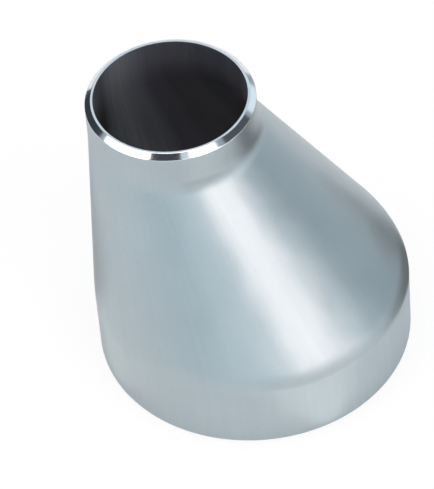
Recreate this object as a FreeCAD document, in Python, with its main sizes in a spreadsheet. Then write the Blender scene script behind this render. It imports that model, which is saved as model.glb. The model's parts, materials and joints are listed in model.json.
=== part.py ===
import FreeCAD, Part
import os
import Sketcher

# Eccentric butt-welding reducer, DN 100 x DN 50, pressed from one length of stainless steel tube.
# Units are millimetres and degrees. The origin is the centre of the large end's face, +Z points to
# the small end, and -X is the flat side, the one straight line that both ends share.
#
# Every level cut through the wall is a pair of circles. Each circle touches its own face of the flat
# side, so one number, its diameter, gives it. "Slope" is the wall's lean from the vertical on the +X
# side, opposite the flat side, where it is greatest.

DIMENSIONS = (
    ("large_diameter", 108.0, "outside diameter at the large end"),
    ("small_diameter", 57.0, "outside diameter at the small end"),
    ("overall_height", 102.0, "face to face"),
    ("large_wall", 3.0, "wall at the large end and the shoulder"),
    ("small_wall", 2.8, "wall at the small end and the neck"),
    ("skirt_height", 24.5, "straight part at the large end"),
    ("crease_radius", 5.0, "outside radius of the bend above the skirt"),
    ("crease_slope", 22.0, "slope above that bend"),
    ("shoulder_radius", 20.0, "outside radius of the shoulder"),
    ("flare_slope", 40.2, "slope of the straight, conical part"),
    ("neck_radius", 11.0, "outside radius of the hollow bend under the neck"),
    ("weld_land", 0.8, "flat ring left on each end's face"),
    ("bevel_angle", 37.5, "weld bevel, measured from the end's face"),
    ("bore_overrun", 5.0, "how far a straight bore's cut starts outside the end's face"),
)


def make_sheet(doc):
    """The driving dimensions, one row each: what it is, and its value under an alias."""
    sheet = doc.addObject("Spreadsheet::Sheet", "dims")
    for row, (alias, value, meaning) in enumerate(DIMENSIONS, start=1):
        sheet.set(f"A{row}", meaning)
        sheet.set(f"B{row}", str(value))
        sheet.setAlias(f"B{row}", alias)
    doc.recompute()
    return sheet


def make_stations(doc):
    """The outside's width, flat side to +X side, and height where one stretch of wall meets the next."""
    stations = doc.addObject("App::VarSet", "stations")
    formulas = (
        ("crease_width", "dims.large_diameter - dims.crease_radius * (1 - cos(dims.crease_slope))"),
        ("crease_height", "dims.skirt_height + dims.crease_radius * sin(dims.crease_slope)"),
        ("shoulder_width", "crease_width"
         " - dims.shoulder_radius * (cos(dims.crease_slope) - cos(dims.flare_slope))"),
        ("shoulder_height", "crease_height"
         " + dims.shoulder_radius * (sin(dims.flare_slope) - sin(dims.crease_slope))"),
        ("flare_width", "dims.small_diameter + dims.neck_radius * (1 - cos(dims.flare_slope))"),
        ("flare_height", "shoulder_height + (shoulder_width - flare_width) / tan(dims.flare_slope)"),
        ("neck_height", "flare_height + dims.neck_radius * sin(dims.flare_slope)"),
    )
    for name, formula in formulas:
        stations.addProperty("App::PropertyFloat", name)
        stations.setExpression(name, formula)
    doc.recompute()
    return stations


def bend_point(width, height, radius, start_slope, slope):
    """Formulas for the width and height on a bend that starts at width, height and start_slope.

    A bend that bulges outwards has a positive radius, and a hollow one has a negative radius.
    """
    return (
        f"{width} - {radius} * (cos({start_slope}) - cos({slope}))",
        f"{height} + {radius} * (sin({slope}) - sin({start_slope}))",
    )


def wall_stations():
    """The stretches between the skirt and the neck, from the bottom up.

    Each stretch is a name and its stations after the first. A station is (width, height, slope, wall),
    all of them formulas, on the outside of the wall. The first stretch starts at the skirt's top.
    """
    crease = []
    for share in (0.5, 1.0):
        slope = f"dims.crease_slope * {share}"
        point = bend_point("dims.large_diameter", "dims.skirt_height", "dims.crease_radius", "0", slope)
        crease.append((*point, slope, "dims.large_wall"))

    shoulder = []
    for share in (1 / 3, 2 / 3, 1.0):
        slope = f"(dims.crease_slope + (dims.flare_slope - dims.crease_slope) * {share:.6f})"
        point = bend_point("stations.crease_width", "stations.crease_height",
                           "dims.shoulder_radius", "dims.crease_slope", slope)
        shoulder.append((*point, slope, "dims.large_wall"))

    flare = [("stations.flare_width", "stations.flare_height", "dims.flare_slope", "dims.small_wall")]

    neck_bend = []
    for share in (0.75, 0.5, 0.25, 0.0):
        slope = f"dims.flare_slope * {share}"
        point = bend_point("stations.flare_width", "stations.flare_height",
                           "-dims.neck_radius", "dims.flare_slope", slope)
        neck_bend.append((*point, slope, "dims.small_wall"))

    return (("crease", crease), ("shoulder", shoulder), ("flare", flare), ("neck_bend", neck_bend))


def origin_plane(body, role):
    return next(plane for plane in body.Origin.OriginFeatures if plane.Role == role)


def section(body, name, diameter, height, wall):
    """A level circle that touches the flat side's outside, or its inside if wall is given."""
    sketch = body.newObject("Sketcher::SketchObject", name)
    sketch.AttachmentSupport = (origin_plane(body, "XY_Plane"), "")
    sketch.MapMode = "FlatFace"
    sketch.setExpression("AttachmentOffset.Base.x", f"{wall} - dims.large_diameter / 2")
    sketch.setExpression("AttachmentOffset.Base.z", height)
    first_radius = 40.0
    centre = FreeCAD.Vector(first_radius, 0, 0)
    circle = sketch.addGeometry(Part.Circle(centre, FreeCAD.Vector(0, 0, 1), first_radius))
    centre_point, sketch_origin, x_axis = 3, (-1, 1), -1
    sketch.addConstraint(Sketcher.Constraint("PointOnObject", circle, centre_point, x_axis))
    sketch.addConstraint(Sketcher.Constraint("PointOnObject", *sketch_origin, circle))
    size = sketch.addConstraint(Sketcher.Constraint("Diameter", circle, 2 * first_radius))
    sketch.renameConstraint(size, "diameter")
    sketch.setExpression("Constraints.diameter", diameter)
    return sketch


def straight(body, kind, name, sketch, length):
    """A Pad or a Pocket that runs upwards from a level sketch."""
    feature = body.newObject(f"PartDesign::{kind}", name)
    feature.Profile = sketch
    feature.Reversed = kind == "Pocket"
    feature.setExpression("Length", length)
    return feature


def loft(body, kind, name, sketches, ruled):
    feature = body.newObject(f"PartDesign::{kind}Loft", name)
    feature.Profile = sketches[0]
    feature.Sections = sketches[1:]
    feature.Ruled = ruled
    return feature


def build_wall_face(body, prefix, inside):
    """The outside's solid, or the cut for the inside: skirt, four lofted stretches and neck.

    On the inside a section lies a wall's thickness in from the outside, square to the sloping wall, so
    it sits lower as well as narrower.
    """
    straight_kind, loft_kind = ("Pocket", "Subtractive") if inside else ("Pad", "Additive")
    overrun = "dims.bore_overrun" if inside else "0"
    large_wall = "dims.large_wall" if inside else "0"
    small_wall = "dims.small_wall" if inside else "0"
    large_size = f"dims.large_diameter - 2 * {large_wall}"
    small_size = f"dims.small_diameter - 2 * {small_wall}"

    foot = section(body, f"{prefix}_foot_section", large_size, f"0 - {overrun}", large_wall)
    straight(body, straight_kind, f"{prefix}_skirt", foot, f"dims.skirt_height + {overrun}")
    last = section(body, f"{prefix}_skirt_section", large_size, "dims.skirt_height", large_wall)

    for name, points in wall_stations():
        sketches = [last]
        for number, (width, height, slope, wall) in enumerate(points, start=1):
            inset = wall if inside else "0"
            sketches.append(section(
                body,
                f"{prefix}_{name}_section_{number}",
                f"{width} - {inset} * (1 + cos({slope}))",
                f"{height} - {inset} * sin({slope})",
                inset,
            ))
        loft(body, loft_kind, f"{prefix}_{name}", sketches, ruled=name == "flare")
        last = sketches[-1]

    neck = section(body, f"{prefix}_neck_section", small_size, "stations.neck_height", small_wall)
    length = f"dims.overall_height - stations.neck_height + {overrun}"
    return straight(body, straight_kind, f"{prefix}_neck", neck, length)


def round_edge(shape, radius, height):
    """The name of the level circular edge of that radius at that height."""
    for number, edge in enumerate(shape.Edges, start=1):
        if not isinstance(edge.Curve, Part.Circle):
            continue
        same_radius = abs(edge.Curve.Radius - radius) < 0.01
        if same_radius and abs(edge.Curve.Center.z - height) < 0.01:
            return f"Edge{number}"
    raise RuntimeError(f"no circular edge of radius {radius} at height {height}")


def weld_bevel(body, name, base, radius, height, wall):
    """The weld bevel on an end's outer edge. It leaves the land beside the bore."""
    bevel = body.newObject("PartDesign::Chamfer", name)
    bevel.Base = (base, [round_edge(base.Shape, radius, height)])
    bevel.ChamferType = "Two distances"
    width = f"({wall} - dims.weld_land)"
    bevel.setExpression("Size", f"{width} * tan(dims.bevel_angle)")
    bevel.setExpression("Size2", width)
    return bevel


def make_reducer_body(doc, sheet):
    body = doc.addObject("PartDesign::Body", "reducer_body")
    body.Label = "reducer_body"
    build_wall_face(body, "outside", inside=False)
    doc.recompute()
    solid_volume = body.Shape.Volume
    bored = build_wall_face(body, "inside", inside=True)
    doc.recompute()
    if body.Shape.Volume > 0.5 * solid_volume:
        raise RuntimeError("the bore cuts too little out of the body")
    large_end = weld_bevel(body, "large_weld_bevel", bored, sheet.large_diameter / 2, 0.0,
                           "dims.large_wall")
    doc.recompute()
    weld_bevel(body, "small_weld_bevel", large_end, sheet.small_diameter / 2, sheet.overall_height,
               "dims.small_wall")
    doc.recompute()
    return body


def check_document(doc, parts):
    for obj in doc.Objects:
        if {"Invalid", "Error"} & set(obj.State):
            raise RuntimeError(f"{obj.Name} failed: {obj.State}")
    for part in parts:
        if part.Shape.isNull() or not part.Shape.isValid():
            raise RuntimeError(f"{part.Label} has no valid shape")
        if len(part.Shape.Solids) != 1:
            raise RuntimeError(f"{part.Label} is {len(part.Shape.Solids)} solids")


def check_ends(body, sheet):
    """Each end keeps its land: a flat ring as wide as the sheet says, beside the bore."""
    ends = ((0.0, sheet.large_diameter / 2 - sheet.large_wall),
            (sheet.overall_height, sheet.small_diameter / 2 - sheet.small_wall))
    for height, bore_radius in ends:
        round_edge(body.Shape, bore_radius, height)
        round_edge(body.Shape, bore_radius + sheet.weld_land, height)


def main():
    doc = FreeCAD.newDocument("eccentric_reducer")
    sheet = make_sheet(doc)
    make_stations(doc)
    parts = [make_reducer_body(doc, sheet)]
    check_document(doc, parts)
    check_ends(parts[0], sheet)
    os.makedirs("parts", exist_ok=True)
    for part in parts:
        part.Shape.exportStep(f"parts/{part.Label}.step")
        box = part.Shape.optimalBoundingBox()
        sides = [round(side, 2) for side in (box.XLength, box.YLength, box.ZLength)]
        print(part.Label, "volume", round(part.Shape.Volume), "box", sides)


main()
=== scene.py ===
import json
import math

import bpy
import numpy as np
from mathutils import Matrix, Vector


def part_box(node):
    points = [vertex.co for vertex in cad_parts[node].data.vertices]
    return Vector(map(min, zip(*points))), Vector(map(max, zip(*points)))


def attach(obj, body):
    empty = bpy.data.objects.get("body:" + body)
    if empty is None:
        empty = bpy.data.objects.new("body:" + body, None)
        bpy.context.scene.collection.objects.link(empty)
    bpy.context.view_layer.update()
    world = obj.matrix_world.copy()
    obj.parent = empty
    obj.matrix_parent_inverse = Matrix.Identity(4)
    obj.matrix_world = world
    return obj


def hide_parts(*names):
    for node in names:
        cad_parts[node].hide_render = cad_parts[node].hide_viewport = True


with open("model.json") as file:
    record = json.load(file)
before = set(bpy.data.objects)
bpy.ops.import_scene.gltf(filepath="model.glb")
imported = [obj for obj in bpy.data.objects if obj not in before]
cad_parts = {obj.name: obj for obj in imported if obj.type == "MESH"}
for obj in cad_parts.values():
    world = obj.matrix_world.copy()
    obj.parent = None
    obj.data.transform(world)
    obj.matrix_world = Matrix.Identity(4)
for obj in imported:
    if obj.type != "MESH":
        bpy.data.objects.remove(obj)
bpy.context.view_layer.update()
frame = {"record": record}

# The surface of an eccentric butt-welding reducer, in metres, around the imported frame.
#
# Every level cut through the wall is a circle, and every one touches a face of the flat side. A station
# on the surface is therefore three numbers: inset, how far that face lies in from the flat side's
# outside; width, the circle's diameter; and height. "Slope" is the wall's lean on the +X side.

MM = 0.001
MOUNTS = {mount["name"]: mount for mount in frame["record"]["mounts"]}


def mount_radius(name):
    return MOUNTS[name]["dims"]["r_mm"] * MM


def mount_length(name):
    return MOUNTS[name]["dims"]["length_mm"] * MM


LOW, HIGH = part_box("reducer_body")
TOTAL_HEIGHT = HIGH.z - LOW.z
LARGE_RADIUS = mount_radius("large_end_outside")
SMALL_RADIUS = mount_radius("small_end_outside")
LARGE_WALL = LARGE_RADIUS - mount_radius("large_end_bore")
SMALL_WALL = SMALL_RADIUS - mount_radius("small_end_bore")
SKIRT_HEIGHT = mount_length("large_end_bore")
NECK_BASE = TOTAL_HEIGHT - mount_length("small_end_bore")
LARGE_BEVEL_HEIGHT = SKIRT_HEIGHT - mount_length("large_end_outside")
SMALL_BEVEL_HEIGHT = mount_length("small_end_bore") - mount_length("small_end_outside")

CREASE_RADIUS = 5.0 * MM
CREASE_SLOPE = math.radians(22.0)
SHOULDER_RADIUS = 20.0 * MM
FLARE_SLOPE = math.radians(40.2)
NECK_RADIUS = 11.0 * MM
WELD_LAND = 0.8 * MM
EDGE_ROUNDING = 0.12 * MM

AROUND = 320
LEVEL_PITCH = 1.0 * MM
CREASE_STEPS = 8
SHOULDER_STEPS = 12
NECK_STEPS = 16
BEVEL_STEPS = 8
ROUNDING_STEPS = 3

SATIN, BEVEL, LAND, BORE = range(4)


def bend(start, radius, start_slope, end_slope, steps):
    """Stations on a bend, after its start, as (width, height, slope).

    A hollow bend has a negative radius.
    """
    width, height = start
    stations = []
    for step in range(1, steps + 1):
        slope = start_slope + (end_slope - start_slope) * step / steps
        stations.append((
            width - radius * (math.cos(start_slope) - math.cos(slope)),
            height + radius * (math.sin(slope) - math.sin(start_slope)),
            slope,
        ))
    return stations


def run(start, end, pitch):
    """Evenly spaced stations after start, up to and including end."""
    start, end = np.array(start, float), np.array(end, float)
    steps = max(1, round(float(np.linalg.norm((end - start)[:2])) / pitch))
    return [tuple(start + (end - start) * step / steps) for step in range(1, steps + 1)]


def wall_stations():
    """The wall's outside from the top of the skirt to the foot of the neck, as (width, height, slope)."""
    skirt_top = (2 * LARGE_RADIUS, SKIRT_HEIGHT, 0.0)
    crease = bend(skirt_top[:2], CREASE_RADIUS, 0.0, CREASE_SLOPE, CREASE_STEPS)
    shoulder = bend(crease[-1][:2], SHOULDER_RADIUS, CREASE_SLOPE, FLARE_SLOPE, SHOULDER_STEPS)
    flare_width = 2 * SMALL_RADIUS + NECK_RADIUS * (1 - math.cos(FLARE_SLOPE))
    flare_height = NECK_BASE - NECK_RADIUS * math.sin(FLARE_SLOPE)
    flare = run(shoulder[-1], (flare_width, flare_height, FLARE_SLOPE), LEVEL_PITCH)
    neck = bend((flare_width, flare_height), -NECK_RADIUS, FLARE_SLOPE, 0.0, NECK_STEPS)
    return [skirt_top, *crease, *shoulder, *flare, *neck]


def wall_thickness(height):
    """The large end's wall up to the shoulder's top, thinning evenly to the small end's at the neck."""
    crease_rise = CREASE_RADIUS * math.sin(CREASE_SLOPE)
    shoulder_rise = SHOULDER_RADIUS * (math.sin(FLARE_SLOPE) - math.sin(CREASE_SLOPE))
    shoulder_top = SKIRT_HEIGHT + crease_rise + shoulder_rise
    share = min(1.0, max(0.0, (height - shoulder_top) / (NECK_BASE - shoulder_top)))
    return LARGE_WALL + (SMALL_WALL - LARGE_WALL) * share


def outside_station(width, height):
    return (0.0, width, height)


def inside_station(width, height, slope):
    wall = wall_thickness(height)
    return (wall, width - wall * (1 + math.cos(slope)), height - wall * math.sin(slope))


def section_path():
    """The whole wall's section as a closed loop of corner-to-corner stretches, each (finish, stations).

    It starts at the outer edge of the large end's land and goes up the outside and down the inside.
    """
    top = TOTAL_HEIGHT
    large, small = 2 * LARGE_RADIUS, 2 * SMALL_RADIUS
    large_cut, small_cut = LARGE_WALL - WELD_LAND, SMALL_WALL - WELD_LAND
    wall = wall_stations()

    large_land_out = (large_cut, large - 2 * large_cut, 0.0)
    large_bevel_top = (0.0, large, LARGE_BEVEL_HEIGHT)
    small_bevel_foot = (0.0, small, top - SMALL_BEVEL_HEIGHT)
    small_land_out = (small_cut, small - 2 * small_cut, top)
    small_land_in = (SMALL_WALL, small - 2 * SMALL_WALL, top)
    large_land_in = (LARGE_WALL, large - 2 * LARGE_WALL, 0.0)

    outside = [outside_station(width, height) for width, height, _ in wall]
    inside = [inside_station(*station) for station in reversed(wall)]

    def straight(start, end):
        steps = max(1, round(abs(end[2] - start[2]) / LEVEL_PITCH))
        points = np.linspace(start, end, steps + 1)
        return [tuple(point) for point in points]

    def machined(start, end):
        return [tuple(point) for point in np.linspace(start, end, BEVEL_STEPS + 1)]

    return [
        (BEVEL, machined(large_land_out, large_bevel_top)),
        (SATIN, [*straight(large_bevel_top, outside[0])[:-1], *outside,
                 *straight(outside[-1], small_bevel_foot)[1:]]),
        (BEVEL, machined(small_bevel_foot, small_land_out)),
        (LAND, machined(small_land_out, small_land_in)),
        (BORE, [*straight(small_land_in, inside[0])[:-1], *inside,
                *straight(inside[-1], large_land_in)[1:]]),
        (LAND, machined(large_land_in, large_land_out)),
    ]


def station_distance(a, b):
    """The distance between two stations along the flat side, where the section is least stretched."""
    return math.hypot(a[0] - b[0], a[2] - b[2]) + 1e-12


def rounded_rings():
    """Every ring of the surface in order, as (station, finish of the faces that follow it).

    Where two stretches meet, the corner gives way to a small curve, so that no edge is razor sharp.
    """
    stretches = section_path()
    rings = []
    for index, (finish, stations) in enumerate(stretches):
        before = stretches[index - 1][1]
        corner = np.array(stations[0])
        reach_in = EDGE_ROUNDING / station_distance(before[-1], before[-2])
        reach_out = EDGE_ROUNDING / station_distance(stations[0], stations[1])
        start = corner + (np.array(before[-2]) - corner) * min(reach_in, 0.5)
        end = corner + (np.array(stations[1]) - corner) * min(reach_out, 0.5)
        for step in range(ROUNDING_STEPS + 1):
            share = step / ROUNDING_STEPS
            point = (1 - share) ** 2 * start + 2 * share * (1 - share) * corner + share ** 2 * end
            rings.append((tuple(point), finish))
        rings += [(station, finish) for station in stations[1:-1]]
    return rings


def ring_points(station):
    """The ring's points, in order round it from the +X side."""
    inset, width, height = station
    radius = width / 2
    centre_x = inset - LARGE_RADIUS + radius
    angles = np.arange(AROUND) * 2 * math.pi / AROUND
    return np.stack([
        centre_x + radius * np.cos(angles),
        radius * np.sin(angles),
        np.full(AROUND, height),
    ], axis=1)


def build_shell():
    rings = rounded_rings()
    count = len(rings)
    points = np.concatenate([ring_points(station) for station, _ in rings])

    faces, finishes = [], []
    for ring, (_, finish) in enumerate(rings):
        here, there = ring * AROUND, (ring + 1) % count * AROUND
        for side in range(AROUND):
            turn = (side + 1) % AROUND
            faces.append((here + side, here + turn, there + turn, there + side))
            finishes.append(finish)

    mesh = bpy.data.meshes.new("reducer_shell")
    mesh.from_pydata(points.tolist(), [], faces)
    mesh.polygons.foreach_set("material_index", finishes)
    mesh.polygons.foreach_set("use_smooth", [True] * len(faces))
    add_flow(mesh, rings)
    mesh.update()
    return bpy.data.objects.new("reducer_shell", mesh)


def add_flow(mesh, rings):
    """Each point's place on the tube that the fitting was pressed from.

    The tube has the large end's radius all the way up, and a point's height on it is its distance along
    the section. Marks drawn in this space follow the metal: they close up towards the small end.
    """
    along, total = [], 0.0
    previous = rings[0][0]
    for station, _ in rings:
        middle_rise = (station[0] + station[1] / 2) - (previous[0] + previous[1] / 2)
        total += math.hypot(middle_rise, station[2] - previous[2])
        along.append(total)
        previous = station
    angles = np.arange(AROUND) * 2 * math.pi / AROUND
    circle = LARGE_RADIUS * np.stack([np.cos(angles), np.sin(angles)], axis=1)
    flow = np.concatenate([
        np.column_stack([circle, np.full(AROUND, height)]) for height in along
    ])
    attribute = mesh.attributes.new("flow", "FLOAT_VECTOR", "POINT")
    attribute.data.foreach_set("vector", flow.astype(np.float32).ravel())


# ---- Materials -------------------------------------------------------------------------------------

class Nodes:
    """A material's node tree, with short calls for the nodes used here."""

    def __init__(self, name):
        self.material = bpy.data.materials.new(name)
        self.material.use_nodes = True
        self.tree = self.material.node_tree
        self.tree.nodes.clear()
        self.shader = self.add("ShaderNodeBsdfPrincipled")
        output = self.add("ShaderNodeOutputMaterial")
        self.link(self.shader.outputs["BSDF"], output.inputs["Surface"])

    def add(self, kind, **settings):
        node = self.tree.nodes.new(kind)
        for name, value in settings.items():
            setattr(node, name, value)
        return node

    def link(self, source, target):
        self.tree.links.new(source, target)

    def put(self, value, socket):
        """A number or colour goes on the socket itself, and an output is linked to it."""
        if isinstance(value, bpy.types.NodeSocket):
            self.link(value, socket)
        else:
            socket.default_value = value

    def math(self, operation, *values):
        node = self.add("ShaderNodeMath", operation=operation)
        for value, socket in zip(values, node.inputs):
            self.put(value, socket)
        return node.outputs[0]

    def position(self):
        return self.add("ShaderNodeTexCoord").outputs["Object"]

    def level(self, position):
        """The height of a position."""
        parts = self.add("ShaderNodeSeparateXYZ")
        self.link(position, parts.inputs[0])
        return parts.outputs["Z"]

    def flow(self):
        return self.add("ShaderNodeAttribute", attribute_name="flow").outputs["Vector"]

    def scaled(self, vector, scale):
        node = self.add("ShaderNodeVectorMath", operation="MULTIPLY")
        self.link(vector, node.inputs[0])
        node.inputs[1].default_value = scale
        return node.outputs[0]

    def towards(self, flow, azimuth):
        """The cosine of the angle round the wall from that azimuth."""
        node = self.add("ShaderNodeVectorMath", operation="DOT_PRODUCT")
        self.link(flow, node.inputs[0])
        node.inputs[1].default_value = (
            math.cos(azimuth) / LARGE_RADIUS, math.sin(azimuth) / LARGE_RADIUS, 0.0)
        return node.outputs["Value"]

    def noise(self, vector, scale, detail=2.0, roughness=0.5):
        node = self.add("ShaderNodeTexNoise", noise_dimensions="3D")
        self.link(vector, node.inputs["Vector"])
        node.inputs["Scale"].default_value = scale
        node.inputs["Detail"].default_value = detail
        node.inputs["Roughness"].default_value = roughness
        return node.outputs["Fac"]

    def drawn_noise(self, flow, across, along, detail=3.0, roughness=0.6):
        """Noise stretched along the tube, as drawing marks are."""
        return self.noise(self.scaled(flow, (across, across, along)), 1.0, detail, roughness)

    def line_noise(self, value, scale, detail=2.0):
        """Noise that changes along one number only, such as the lines a lathe leaves."""
        node = self.add("ShaderNodeTexNoise", noise_dimensions="1D")
        self.link(value, node.inputs["W"])
        node.inputs["Scale"].default_value = scale
        node.inputs["Detail"].default_value = detail
        return node.outputs["Fac"]

    def fit(self, value, low, high, to_low=0.0, to_high=1.0):
        node = self.add("ShaderNodeMapRange", clamp=True)
        self.put(value, node.inputs["Value"])
        node.inputs["From Min"].default_value = low
        node.inputs["From Max"].default_value = high
        node.inputs["To Min"].default_value = to_low
        node.inputs["To Max"].default_value = to_high
        return node.outputs["Result"]

    def blend(self, share, first, second):
        node = self.add("ShaderNodeMix", data_type="RGBA")
        self.put(share, node.inputs["Factor"])
        self.put(first, node.inputs["A"])
        self.put(second, node.inputs["B"])
        return node.outputs["Result"]

    def tinted(self, colour, where, strength, tint):
        """The colour with a tint over it, as strong as that where the mask is 1."""
        return self.blend(self.math("MULTIPLY", where, strength), colour, tint)

    def bump(self, height, distance, strength=1.0, below=None):
        node = self.add("ShaderNodeBump")
        node.inputs["Strength"].default_value = strength
        node.inputs["Distance"].default_value = distance
        self.link(height, node.inputs["Height"])
        if below is not None:
            self.link(below, node.inputs["Normal"])
        return node.outputs["Normal"]

    def metal(self, colour, roughness, normal):
        self.shader.inputs["Metallic"].default_value = 1.0
        self.put(colour, self.shader.inputs["Base Color"])
        self.put(roughness, self.shader.inputs["Roughness"])
        self.link(normal, self.shader.inputs["Normal"])
        return self.material


# Down the bore, a painted highlight: a pale strip standing in for light that falls in and is reflected off
# the wall, and beside it a bluish strip of the same painted highlight, centred on these azimuths.
PAINTED_HIGHLIGHT_AZIMUTH = math.radians(160.0)
PAINTED_HIGHLIGHT_BLUE_AZIMUTH = math.radians(142.0)

# How far below the small end's face the bore begins to turn paler, and where it is palest.
MOUTH_FADE_FOOT = 18.0 * MM
MOUTH_FADE_TOP = 8.0 * MM


def satin_steel():
    """The outside: a pickled satin with faint drawing marks and clouding, and a gently wavy surface."""
    nodes = Nodes("satin_steel")
    place, flow = nodes.position(), nodes.flow()
    clouds = nodes.fit(nodes.noise(place, 26.0, 3.0, 0.55), 0.30, 0.70)
    streaks = nodes.fit(nodes.drawn_noise(flow, 420.0, 14.0), 0.3, 0.7)
    grain = nodes.noise(place, 2600.0, 2.0, 0.6)
    pits = nodes.fit(nodes.noise(place, 700.0, 2.0, 0.5), 0.62, 0.74)

    pale = (0.458, 0.54, 0.567, 1.0)
    grey = (0.414, 0.49, 0.517, 1.0)
    streak_grey = (0.405, 0.475, 0.50, 1.0)
    pit_grey = (0.30, 0.33, 0.35, 1.0)
    colour = nodes.blend(clouds, grey, pale)
    colour = nodes.tinted(colour, streaks, 0.30, streak_grey)
    colour = nodes.tinted(colour, pits, 0.12, pit_grey)

    shine = nodes.fit(clouds, 0.0, 1.0, 0.35, 0.39)
    roughness = nodes.math("ADD", shine, nodes.math("MULTIPLY", streaks, 0.03))
    waves = nodes.noise(place, 48.0, 1.5, 0.45)
    normal = nodes.bump(waves, 0.8 * MM)
    normal = nodes.bump(grain, 0.018 * MM, 0.6, normal)
    normal = nodes.bump(streaks, 0.012 * MM, 0.35, normal)
    return nodes.metal(colour, roughness, normal)


def turned_bevel():
    """The weld bevels: cut on a lathe, mirror bright, with fine rings."""
    nodes = Nodes("turned_bevel")
    place = nodes.position()
    rings = nodes.line_noise(nodes.level(place), 9000.0, 1.0)
    smears = nodes.noise(place, 180.0, 2.0)
    groove = (0.74, 0.77, 0.79, 1.0)
    crest = (0.84, 0.86, 0.88, 1.0)
    colour = nodes.blend(nodes.fit(rings, 0.35, 0.65), groove, crest)
    roughness = nodes.fit(smears, 0.3, 0.7, 0.07, 0.12)
    normal = nodes.bump(rings, 0.0012 * MM, 0.5)
    return nodes.metal(colour, roughness, normal)


def turned_land():
    """The flat ring left at each end's face."""
    nodes = Nodes("turned_land")
    place = nodes.position()
    grain = nodes.noise(place, 1500.0, 2.0)
    smears = nodes.noise(place, 120.0, 2.0)
    dull = (0.72, 0.75, 0.78, 1.0)
    clean = (0.86, 0.88, 0.90, 1.0)
    colour = nodes.blend(nodes.fit(smears, 0.3, 0.7), dull, clean)
    roughness = nodes.fit(smears, 0.3, 0.7, 0.20, 0.28)
    normal = nodes.bump(grain, 0.003 * MM, 0.5)
    return nodes.metal(colour, roughness, normal)


def bore_steel():
    """The inside: dull and dark, with drawing marks along the bore, a faint heat tint in broad bands, and a
    painted highlight in a pale strip down one side.
    """
    nodes = Nodes("bore_steel")
    place, flow = nodes.position(), nodes.flow()
    clouds = nodes.fit(nodes.noise(place, 40.0, 3.0, 0.6), 0.3, 0.7)
    streaks = nodes.fit(nodes.drawn_noise(flow, 500.0, 18.0), 0.3, 0.7)
    bands = nodes.fit(nodes.drawn_noise(flow, 60.0, 5.0, 2.0, 0.5), 0.40, 0.66)
    grain = nodes.noise(place, 1800.0, 2.0, 0.6)
    near_mouth = nodes.fit(
        nodes.level(place), TOTAL_HEIGHT - MOUTH_FADE_FOOT, TOTAL_HEIGHT - MOUTH_FADE_TOP)
    # Painted highlight: masks for a pale strip down the bore and a bluish strip beside it, standing in for
    # reflected light.
    painted_highlight_strip = nodes.fit(nodes.towards(flow, PAINTED_HIGHLIGHT_AZIMUTH), 0.92, 0.99)
    painted_highlight_blue_strip = nodes.fit(nodes.towards(flow, PAINTED_HIGHLIGHT_BLUE_AZIMUTH), 0.95, 0.995)
    dark = (0.10, 0.11, 0.12, 1.0)
    less_dark = (0.13, 0.145, 0.16, 1.0)
    colour = nodes.blend(clouds, dark, less_dark)
    tints = (
        (bands, 0.5, (0.19, 0.20, 0.235, 1.0)),
        (near_mouth, 0.7, (0.30, 0.31, 0.365, 1.0)),
        # The next two tints are the painted highlight down the bore: its pale strip and its bluish strip.
        (painted_highlight_strip, 0.85, (0.60, 0.67, 0.73, 1.0)),
        (painted_highlight_blue_strip, 0.5, (0.30, 0.32, 0.42, 1.0)),
        (streaks, 0.3, (0.23, 0.25, 0.27, 1.0)),
    )
    for where, strength, tint in tints:
        colour = nodes.tinted(colour, where, strength, tint)
    roughness = nodes.fit(streaks, 0.0, 1.0, 0.48, 0.60)
    normal = nodes.bump(grain, 0.02 * MM, 0.6)
    normal = nodes.bump(streaks, 0.02 * MM, 0.5, normal)
    return nodes.metal(colour, roughness, normal)


def make_reducer():
    shell = build_shell()
    bpy.context.scene.collection.objects.link(shell)
    for material in (satin_steel(), turned_bevel(), turned_land(), bore_steel()):
        shell.data.materials.append(material)
    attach(shell, "root")
    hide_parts("reducer_body")


# ---- Camera ----------------------------------------------------------------------------------------

CAMERA_AZIMUTH = math.radians(30.79)
CAMERA_ELEVATION = math.radians(47.14)
CAMERA_ROLL = math.radians(-5.16)
CAMERA_DISTANCE = 22.53 * LARGE_RADIUS
AIM = Vector((-0.2345, 0.0, 0.6520)) * LARGE_RADIUS
VIEW_HEIGHT = 3.0996 * LARGE_RADIUS
SENSOR = 36.0
CLIP_START = 0.1 * CAMERA_DISTANCE
CLIP_END = 100.0 * CAMERA_DISTANCE


def make_camera():
    """A long lens, from the front and to the right, looking down on the small end.

    VIEW_HEIGHT is how much the frame's long side takes in at the aim point's distance.
    """
    data = bpy.data.cameras.new("camera")
    data.sensor_width = SENSOR
    data.lens = SENSOR * CAMERA_DISTANCE / VIEW_HEIGHT
    camera = bpy.data.objects.new("camera", data)
    back = Vector((
        math.sin(CAMERA_AZIMUTH) * math.cos(CAMERA_ELEVATION),
        -math.cos(CAMERA_AZIMUTH) * math.cos(CAMERA_ELEVATION),
        math.sin(CAMERA_ELEVATION),
    ))
    right = Vector((0, 0, 1)).cross(back).normalized()
    level = Matrix((right, back.cross(right), back)).transposed()
    turned = level @ Matrix.Rotation(CAMERA_ROLL, 3, "Z")
    camera.matrix_world = Matrix.Translation(AIM + back * CAMERA_DISTANCE) @ turned.to_4x4()
    data.clip_start = CLIP_START
    data.clip_end = CLIP_END
    bpy.context.scene.collection.objects.link(camera)
    bpy.context.scene.camera = camera


# ---- Studio ----------------------------------------------------------------------------------------

WHITE = (1.0, 1.0, 1.0, 1.0)
BLACK = (0.0, 0.0, 0.0, 1.0)
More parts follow.
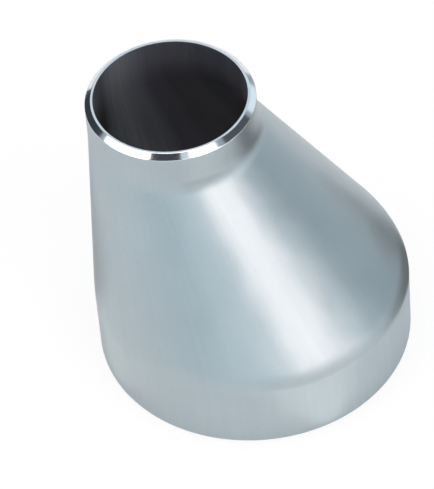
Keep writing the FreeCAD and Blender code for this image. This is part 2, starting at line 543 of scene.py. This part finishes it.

# The studio's surfaces, given one by one. Each has a direction from the object, as azimuth from +X towards
# +Y and height above the horizon, in degrees, with how bright it is and how soft its edges are. Later ones
# cover earlier ones.
# (name, azimuth from, azimuth to, height from, height to, brightness, edge)
SURROUNDINGS = (
    ("front wall", -186.0, -48.0, -20.0, 24.0, 1.09, 10.0),
    ("ceiling", -180.0, 180.0, 66.0, 100.0, 3.20, 4.0),
    ("back soft light", 84.0, 164.0, 36.0, 66.0, 1.08, 6.0),
    ("right wall's foot", 14.0, 62.0, -2.0, 19.0, 0.86, 4.0),
    ("right window", 55.0, 104.0, 5.0, 36.0, 1.20, 3.0),
    ("left soft light", -159.0, -99.0, 34.0, 64.0, 3.20, 1.0),
    ("right soft light's haze", -86.0, -30.0, 1.0, 66.0, 1.60, 16.0),
    ("right soft light", -39.0, 6.0, 3.0, 66.0, 2.75, 5.0),
    ("right soft light's spill", 4.0, 26.0, -4.0, 30.0, 1.75, 6.0),
    ("gap behind the camera", -98.0, -50.0, 30.0, 66.0, 0.08, 2.0),
    ("dark right wall", 13.0, 53.0, 20.0, 62.0, 0.12, 3.0),
    ("dark left corner", 142.0, 198.0, -14.0, 33.0, 0.06, 2.0),
)

# The brightness where no surface is, the brightness of the paper behind the object as the camera sees it,
# and the brightness at the last of the tints.
AMBIENT = 0.50
BACKGROUND = 1.02
BRIGHTEST = 3.0

# How softly a surface's full brightness goes over into its edge, as a share of the edge.
EDGE_ROUNDNESS = 0.1

# (brightness, colour): dim surfaces are bluer, and bright ones warmer.
TINTS = (
    (0.0, (0.70, 0.785, 0.92, 1.0)),
    (1.1, (0.665, 0.785, 0.85, 1.0)),
    (3.0, (1.02, 0.84, 0.80, 1.0)),
)


def make_world():
    """The studio round the object. The camera sees plain pale paper there instead."""
    world = bpy.data.worlds.new("studio")
    bpy.context.scene.world = world
    world.use_nodes = True
    tree = world.node_tree
    tree.nodes.clear()

    def maths(operation, *values):
        node = tree.nodes.new("ShaderNodeMath")
        node.operation = operation
        for value, socket in zip(values, node.inputs):
            if isinstance(value, bpy.types.NodeSocket):
                tree.links.new(value, socket)
            else:
                socket.default_value = value
        return node.outputs[0]

    def inside(value, low, high, edge):
        """1 well inside low to high, and 0 outside, with edges that soft."""
        rise = maths("DIVIDE", maths("SUBTRACT", value, low), edge)
        rise = maths("SMOOTH_MIN", rise, 1.0, EDGE_ROUNDNESS)
        fall = maths("DIVIDE", maths("SUBTRACT", high, value), edge)
        fall = maths("SMOOTH_MIN", fall, 1.0, EDGE_ROUNDNESS)
        return maths("MULTIPLY", maths("MAXIMUM", rise, 0.0), maths("MAXIMUM", fall, 0.0))

    direction = tree.nodes.new("ShaderNodeTexCoord").outputs["Generated"]
    parts = tree.nodes.new("ShaderNodeSeparateXYZ")
    tree.links.new(direction, parts.inputs[0])
    azimuth = maths("DEGREES", maths("ARCTAN2", parts.outputs["Y"], parts.outputs["X"]))
    height = maths("DEGREES", maths("ARCSINE", parts.outputs["Z"]))

    brightness = AMBIENT
    for _, west, east, low, high, level, edge in SURROUNDINGS:
        middle, half = (west + east) / 2, (east - west) / 2
        offset = maths("WRAP", maths("SUBTRACT", azimuth, middle), 180.0, -180.0)
        across = inside(offset, -half, half, edge)
        share = maths("MULTIPLY", across, inside(height, low, high, edge))
        kept = maths("MULTIPLY", maths("SUBTRACT", 1.0, share), brightness)
        brightness = maths("ADD", kept, maths("MULTIPLY", share, level))

    tint = tree.nodes.new("ShaderNodeValToRGB")
    tree.links.new(maths("DIVIDE", brightness, BRIGHTEST), tint.inputs["Fac"])
    while len(tint.color_ramp.elements) < len(TINTS):
        tint.color_ramp.elements.new(0.5)
    for stop, (brightness_there, colour) in zip(tint.color_ramp.elements, TINTS):
        stop.position = brightness_there / BRIGHTEST
        stop.color = colour

    studio = tree.nodes.new("ShaderNodeBackground")
    tree.links.new(tint.outputs["Color"], studio.inputs["Color"])
    tree.links.new(brightness, studio.inputs["Strength"])
    paper = tree.nodes.new("ShaderNodeBackground")
    paper.inputs["Color"].default_value = WHITE
    paper.inputs["Strength"].default_value = BACKGROUND
    rays = tree.nodes.new("ShaderNodeLightPath")
    mix = tree.nodes.new("ShaderNodeMixShader")
    tree.links.new(rays.outputs["Is Camera Ray"], mix.inputs["Fac"])
    tree.links.new(studio.outputs[0], mix.inputs[1])
    tree.links.new(paper.outputs[0], mix.inputs[2])
    output = tree.nodes.new("ShaderNodeOutputWorld")
    tree.links.new(mix.outputs[0], output.inputs["Surface"])


FLOOR_RADIUS = 4.0
FLOOR_SIDES = 96
FLOOR_COLOUR = (0.80, 0.86, 0.88, 1.0)
FLOOR_ROUGHNESS = 0.9
FLOOR_SPECULAR = 0.1

# How much of what the camera sees of the floor is even glow, and how far the floor lies below the object.
FLOOR_GLOW = 0.85
FLOOR_GAP = 0.05 * MM

# Cards that lie on the floor all round the object. The camera doesn't see them, and the metal does, in its
# reflections.
# (name, radius from, radius to, in large radii, azimuth from, azimuth to, in degrees, brightness)
CARDS = (
    ("dim_card", 1.25, 6.00, 16.0, 78.0, 0.20),
    ("bright_card", 1.04, 3.00, -60.0, -8.0, 1.20),
    ("crease_card", 3.10, 6.50, -66.0, 12.0, 0.58),
    ("back_card", 1.30, 5.00, 80.0, 120.0, 0.95),
    ("left_edge_card", 1.005, 2.40, 120.0, 204.0, 0.58),
    ("left_card", 1.04, 2.20, -160.0, -98.0, 0.98),
)
CARD_STEPS = 48
CARD_LIFT = 0.2 * MM
CARD_COLOUR = (1.03, 1.0, 0.99, 1.0)


def make_card(name, inner, outer, west, east, brightness):
    """A crescent on the floor: full width in the middle and tapering to nothing at both ends."""
    points, faces = [], []
    for step in range(CARD_STEPS + 1):
        share = step / CARD_STEPS
        angle = math.radians(west + (east - west) * share)
        half_width = (outer - inner) / 2 * math.sqrt(math.sin(math.pi * share) + 1e-6)
        for radius in ((inner + outer) / 2 - half_width, (inner + outer) / 2 + half_width):
            x = radius * LARGE_RADIUS * math.cos(angle)
            y = radius * LARGE_RADIUS * math.sin(angle)
            points.append((x, y, LOW.z + CARD_LIFT))
    for step in range(CARD_STEPS):
        faces.append((2 * step, 2 * step + 1, 2 * step + 3, 2 * step + 2))
    mesh = bpy.data.meshes.new(name)
    mesh.from_pydata(points, [], faces)
    card = bpy.data.objects.new(name, mesh)
    bpy.context.scene.collection.objects.link(card)
    card.visible_camera = False
    card.visible_shadow = False
    card.visible_diffuse = False
    nodes = Nodes(name)
    nodes.shader.inputs["Base Color"].default_value = BLACK
    nodes.shader.inputs["Specular IOR Level"].default_value = 0.0
    nodes.shader.inputs["Emission Color"].default_value = CARD_COLOUR
    nodes.shader.inputs["Emission Strength"].default_value = brightness
    mesh.materials.append(nodes.material)


def make_floor():
    """Pale paper. It glows a little to the camera, as on a light table, so shadows on it stay faint."""
    angles = [math.tau * side / FLOOR_SIDES for side in range(FLOOR_SIDES)]
    ring = [
        (FLOOR_RADIUS * math.cos(angle), FLOOR_RADIUS * math.sin(angle), LOW.z - FLOOR_GAP)
        for angle in angles
    ]
    mesh = bpy.data.meshes.new("floor")
    mesh.from_pydata(ring, [], [tuple(range(FLOOR_SIDES))])
    floor = bpy.data.objects.new("floor", mesh)
    bpy.context.scene.collection.objects.link(floor)

    nodes = Nodes("pale_paper")
    nodes.shader.inputs["Base Color"].default_value = FLOOR_COLOUR
    nodes.shader.inputs["Roughness"].default_value = FLOOR_ROUGHNESS
    nodes.shader.inputs["Specular IOR Level"].default_value = FLOOR_SPECULAR
    glow = nodes.add("ShaderNodeEmission")
    glow.inputs["Strength"].default_value = BACKGROUND
    mix = nodes.add("ShaderNodeMixShader")
    rays = nodes.add("ShaderNodeLightPath")
    glow_share = nodes.math("MULTIPLY", rays.outputs["Is Camera Ray"], FLOOR_GLOW)
    nodes.link(glow_share, mix.inputs["Fac"])
    nodes.link(nodes.shader.outputs["BSDF"], mix.inputs[1])
    nodes.link(glow.outputs[0], mix.inputs[2])
    output = next(node for node in nodes.tree.nodes if node.type == "OUTPUT_MATERIAL")
    nodes.link(mix.outputs[0], output.inputs["Surface"])
    mesh.materials.append(nodes.material)


make_camera()
make_world()
make_floor()
for card in CARDS:
    make_card(*card)
make_reducer()
bpy.context.scene.view_settings.view_transform = "Standard"
